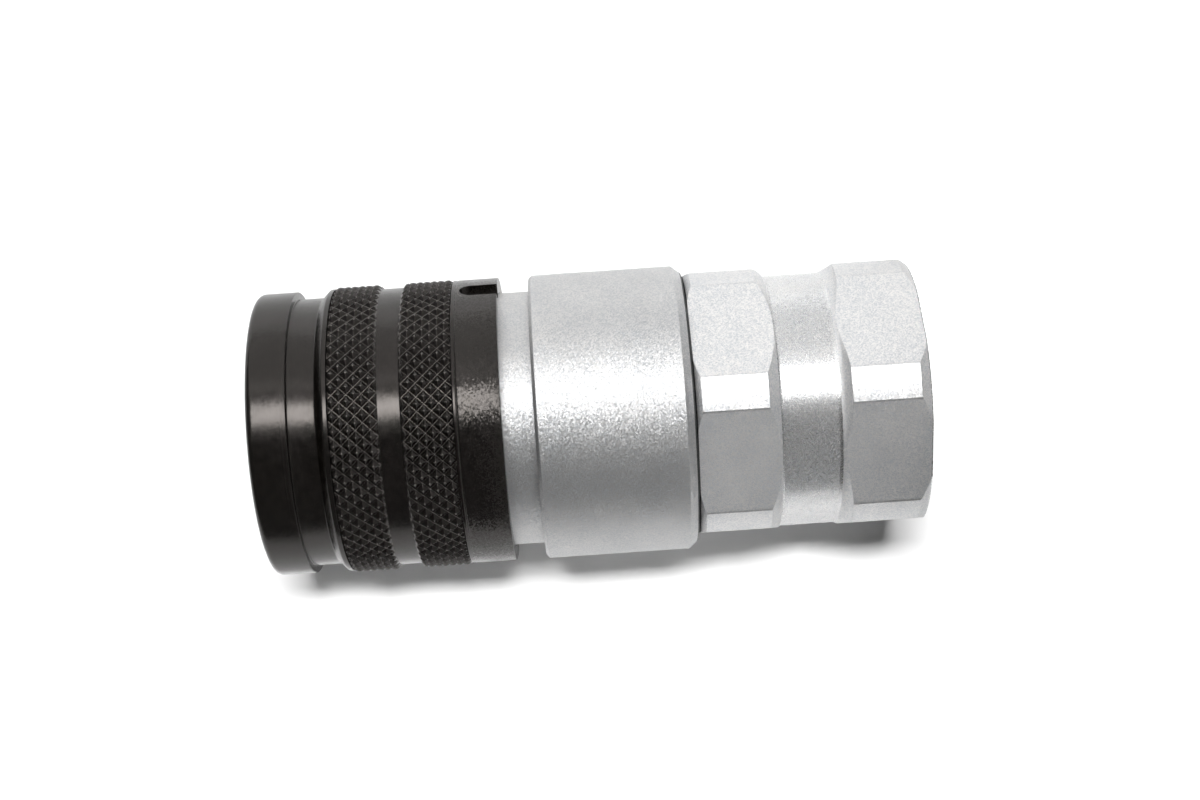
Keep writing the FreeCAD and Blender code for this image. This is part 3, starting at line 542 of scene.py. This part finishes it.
def notch_cutter(rear):
    """A long bar with a round end, across the sleeve's rear edge."""
    half = NOTCH_WIDTH / 2 * MM
    centre = rear + (NOTCH_DEPTH - NOTCH_WIDTH / 2) * MM
    outline = [(half, rear - half)]
    outline += [
        (half * math.cos(angle), centre + half * math.sin(angle))
        for angle in (math.pi * step / NOTCH_STEPS for step in range(NOTCH_STEPS + 1))
    ]
    outline += [(-half, rear - half)]
    points = [(x, y, z) for x in (-CUTTER_REACH, CUTTER_REACH) for y, z in outline]
    count = len(outline)
    faces = [tuple(range(count))[::-1], tuple(range(count, 2 * count))]
    faces += [(i, (i + 1) % count, count + (i + 1) % count, count + i) for i in range(count)]
    mesh = bpy.data.meshes.new("notch_cutter")
    mesh.from_pydata(points, [], faces)
    mesh.validate()
    cutter = bpy.data.objects.new("notch_cutter", mesh)
    bpy.context.scene.collection.objects.link(cutter)
    return cutter


def make_sleeve(material):
    """The black sleeve with rounded edges and knurls, in place of the source's; its material paints
    highlight lines on the knurls.
    """
    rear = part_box("release_sleeve")[0].z
    mesh = turn_mesh("sleeve_blank", sleeve_rings(rear))
    sleeve = bpy.data.objects.new("sleeve_blank", mesh)
    bpy.context.scene.collection.objects.link(sleeve)
    cutter = notch_cutter(rear)
    cut = sleeve.modifiers.new("notches", "BOOLEAN")
    cut.operation = "DIFFERENCE"
    cut.solver = "EXACT"
    cut.object = cutter
    graph = bpy.context.evaluated_depsgraph_get()
    final = bpy.data.meshes.new_from_object(sleeve.evaluated_get(graph))
    bpy.data.objects.remove(sleeve)
    bpy.data.objects.remove(cutter)
    final.materials.clear()
    piece = add_piece("sleeve_shell", final, material, "sleeve")
    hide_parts("release_sleeve")


# Springs and thread

WIRE_SIDES = 14
STEPS_PER_TURN = 64
COIL_SMOOTH_DEG = 50
SLEEVE_COIL = {
    "ring_radius": 15.975 * MM, "wire_radius": 0.75 * MM, "turns": 4.5,
    "anchor": 58.5 * MM, "keep": 8.5 / 12.5,
}
TUBE_COIL = {
    "ring_radius": 11.125 * MM, "wire_radius": 0.7 * MM, "turns": 4.0,
    "anchor": 24.0 * MM, "keep": 6.5 / 22,
}


def wound_mesh(name, profile, bottom, top, turns):
    """Closed mesh of an outline of (radius, height) points, wound from one height to another."""
    steps = round(turns * STEPS_PER_TURN)
    points = []
    for step in range(steps + 1):
        angle = 2 * math.pi * step / STEPS_PER_TURN
        lift = bottom + (top - bottom) * step / steps
        points.extend((r * math.cos(angle), r * math.sin(angle), lift + h) for r, h in profile)
    count = len(profile)
    faces = [tuple(range(count))[::-1], tuple(range(steps * count, (steps + 1) * count))]
    for step in range(steps):
        for side in range(count):
            after = (side + 1) % count
            low = step * count
            high = low + count
            faces.append((low + side, low + after, high + after, high + side))
    mesh = bpy.data.meshes.new(name)
    mesh.from_pydata(points, [], faces)
    mesh.validate()
    return mesh


def make_coil(name, node, joint, material, ring_radius, wire_radius, turns, anchor, keep):
    """Smooth round wire in place of the source's straight lengths.

    Its joint, anchor and keep are not used.
    """
    low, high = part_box(node)
    profile = [
        (ring_radius + wire_radius * math.cos(angle), wire_radius * math.sin(angle))
        for angle in (2 * math.pi * side / WIRE_SIDES for side in range(WIRE_SIDES))
    ]
    mesh = wound_mesh(name, profile, low.z + wire_radius, high.z - wire_radius, turns)
    coil = add_piece(name, mesh, material, "socket", smooth_deg=COIL_SMOOTH_DEG)
    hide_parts(node)
    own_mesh(coil)


THREAD_BOTTOM = 2.9 * MM
THREAD_TOP = 15.2 * MM
THREAD_PITCH = 1.5875 * MM
THREAD_ROOT = 9.56 * MM
THREAD_CREST = 8.75 * MM
ROOT_WIDTH = 0.92 * THREAD_PITCH
CREST_WIDTH = 0.3 * MM


def make_thread(material):
    """Ridge of the port's thread, wound up the plain bore."""
    half = ROOT_WIDTH / 2
    crest = CREST_WIDTH / 2
    profile = [(THREAD_ROOT, -half), (THREAD_ROOT, half), (THREAD_CREST, crest), (THREAD_CREST, -crest)]
    bottom, top = THREAD_BOTTOM + half, THREAD_TOP - half
    mesh = wound_mesh("port_thread", profile, bottom, top, (top - bottom) / THREAD_PITCH)
    add_piece("port_thread", mesh, material, "socket")


# Stage and light

BACKDROP_GAP = 19.2 * MM
SHADOW_WINDOW = ((-45 * MM, -9 * MM), (-30 * MM, BACKDROP_GAP))
BACKDROP_GLOW = 0.01
BACKDROP_TINT = (1, 0.96, 0.90, 1)
BACKDROP_FADE = 0.3
BACKDROP_SIZE = 4.0
FLOOR_GLOW = 0.75
FLOOR_FADE = 0.6
FLOOR_SIZE = 2.0
GROUND = (0.88, 0.88, 0.88, 1)
WHITE = (1, 1, 1, 1)
MATT_WORLD = 0.1
WORLD_STOPS = [(0.0, 0.12), (0.45, 0.12), (0.6, 0.20), (1.0, 0.20)]

# name, steps back, up and right, width and height, glow, whether it lights matt surfaces
# and whether it shows in glossy ones
LAMPS = [
    ("key", (1.20, 0.27, 0.0), (0.40, 0.13), 118.0, True, False),
    ("strobe", (1.14, 0.34, 0.0), (0.90, 0.32), 9.0, False, True),
    ("softbox", (1.10, 0.46, -0.3), (1.0, 0.9), 0.5, False, True),
    ("sky", (0.18, 0.62, 0.0), (1.2, 1.0), 0.75, False, True),
    ("overhead", (0.0, 0.0, -3.0), (1.2, 1.2), 5.0, True, False),
    ("far_side", (-0.9, -0.2, -0.4), (0.7, 0.7), 1.4, True, True),
]


def ground_material(name, tint, glow, shown_in, fade, one_sided):
    """Pale matt ground that glows a little on some rays, and is faint in reflections.

    It lets shadow rays through, so it throws no shadow of its own.
    """
    material = bpy.data.materials.new(name)
    tree = Nodes(material)
    path = tree.add("ShaderNodeLightPath").outputs
    seen = path[shown_in[0]]
    for ray in shown_in[1:]:
        seen = tree.math("MAXIMUM", seen, path[ray])
    diffuse = tree.add("ShaderNodeBsdfDiffuse", {"Color": GROUND}).outputs[0]
    strength = tree.math("MULTIPLY", seen, glow)
    light = tree.add("ShaderNodeEmission", {"Color": tint, "Strength": strength}).outputs[0]
    ground = tree.add("ShaderNodeAddShader", {0: diffuse, 1: light}).outputs[0]
    faint = tree.math("MULTIPLY", path["Is Glossy Ray"], fade)
    hidden = tree.math("MAXIMUM", path["Is Shadow Ray"], faint)
    if one_sided:
        behind = tree.add("ShaderNodeNewGeometry").outputs["Backfacing"]
        hidden = tree.math("MAXIMUM", behind, hidden)
    clear = tree.add("ShaderNodeBsdfTransparent").outputs[0]
    shown = tree.add("ShaderNodeMixShader", {0: hidden, 1: ground, 2: clear}).outputs[0]
    tree.add("ShaderNodeOutputMaterial", {"Surface": shown})
    return material


def backdrop_material():
    """White ground that keeps the coupler's shadow and isn't seen from behind."""
    rays = ("Is Camera Ray", "Is Glossy Ray", "Is Transmission Ray")
    return ground_material("backdrop", BACKDROP_TINT, BACKDROP_GLOW, rays, BACKDROP_FADE, one_sided=True)


def floor_material():
    """Plain pale floor, white to the camera where no shadow falls."""
    return ground_material("floor", WHITE, FLOOR_GLOW, ("Is Camera Ray",), FLOOR_FADE, one_sided=False)


def add_plane(name, centre, across, upward, size, material, window=None):
    """A square stage plane whose front looks along across x upward.

    A window is the lowest and highest step across and upward of an opening in it.
    """
    half = size / 2
    turns = ((0, 0), (1, 0), (1, 1), (0, 1))
    steps = [((-half, half)[x], (-half, half)[y]) for x, y in turns]
    faces = [(0, 1, 2, 3)]
    if window:
        wide, high = window
        steps += [(wide[x], high[y]) for x, y in turns]
        faces = [(i, (i + 1) % 4, 4 + (i + 1) % 4, 4 + i) for i in range(4)]
    corners = [centre + across * x + upward * y for x, y in steps]
    mesh = bpy.data.meshes.new(name)
    mesh.from_pydata(corners, [], faces)
    mesh.materials.append(material)
    plane = bpy.data.objects.new(name, mesh)
    bpy.context.scene.collection.objects.link(plane)


def add_lamp(name, target, step, width, height, glow, on_matt, on_gloss):
    """A panel, a step away from the target and facing it, its width along the coupler's axis.

    Its glow is the brightness that a mirror would show.
    """
    data = bpy.data.lights.new(name, "AREA")
    data.shape = "RECTANGLE"
    data.size = height
    data.size_y = width
    data.energy = math.pi * width * height * glow
    lamp = bpy.data.objects.new(name, data)
    lamp.rotation_mode = "QUATERNION"
    lamp.rotation_quaternion = (-step).to_track_quat("-Z", "Y")
    lamp.location = target + step
    lamp.visible_diffuse = on_matt
    lamp.visible_glossy = on_gloss
    bpy.context.scene.collection.objects.link(lamp)


def make_world(up):
    """White to the camera. In light and reflections it is grey, and darker low in front."""
    world = bpy.data.worlds.new("studio")
    bpy.context.scene.world = world
    tree = Nodes(world)
    path = tree.add("ShaderNodeLightPath").outputs
    way = tree.add("ShaderNodeTexCoord").outputs["Generated"]
    rise = tree.add("ShaderNodeVectorMath", {0: way, 1: up}, operation="DOT_PRODUCT").outputs["Value"]
    tone = tree.ramp(tree.line(rise, 0.5, 0.5), WORLD_STOPS)
    strength = tree.line(path["Is Glossy Ray"], 1 - MATT_WORLD, MATT_WORLD)
    light = tree.add("ShaderNodeBackground", {"Color": tone, "Strength": strength}).outputs[0]
    white = tree.add("ShaderNodeBackground", {"Color": WHITE, "Strength": 1.0}).outputs[0]
    shown = tree.add("ShaderNodeMixShader", {0: path["Is Camera Ray"], 1: light, 2: white}).outputs[0]
    tree.add("ShaderNodeOutputWorld", {"Surface": shown})


def make_stage(right, up, back):
    """Floor under the coupler, backdrop close behind it, and lamps around it."""
    middle = Vector((0, 0, AIM_HEIGHT))
    # the camera sees the end of the shadow on the backdrop through the floor's window
    add_plane("floor", Vector((0, 0, 0)), up, -back, FLOOR_SIZE, floor_material(), window=SHADOW_WINDOW)
    add_plane("backdrop", middle - back * BACKDROP_GAP, right, up, BACKDROP_SIZE, backdrop_material())
    for name, (behind, above, aside), (width, height), glow, on_matt, on_gloss in LAMPS:
        step = back * behind + up * above + right * aside
        add_lamp(name, middle, step, width, height, glow, on_matt, on_gloss)
    make_world(up)


# The whole scene

right, up, back = make_camera()

zinc = zinc_material("zinc_turned")
zinc_hex = zinc_material("zinc_hexagon", shade=HEX_SHADE, flats=True)
bright = smooth_steel_material("bright_steel", (0.72, 0.73, 0.75), 0.25)
spring = smooth_steel_material("spring_steel", (0.42, 0.42, 0.43), 0.32)
polished = smooth_steel_material("ball_steel", (0.80, 0.80, 0.82), 0.12)
black = black_material()
rubber = soft_material("seal_rubber", (0.035, 0.034, 0.033), 0.55)
plastic = soft_material("backup_plastic", (0.82, 0.80, 0.74), 0.5)
finishes = {
    "zinc_steel": zinc,
    "bright_steel": bright,
    "spring_steel": spring,
    "ball_steel": polished,
    "seal_rubber": rubber,
    "backup_plastic": plastic,
    "black_sleeve": black,
}
for part in frame["record"]["subparts"]:
    paint(part["node"], finishes[part["material_slot"]])
paint("port_adapter", zinc_hex)

make_sleeve(black)
make_coil("sleeve_coil", "sleeve_spring", "sleeve_pull", spring, **SLEEVE_COIL)
make_coil("tube_coil", "tube_spring", "valve_push", spring, **TUBE_COIL)
make_thread(zinc)
make_stage(right, up, back)

bpy.context.scene.view_settings.view_transform = "Standard"
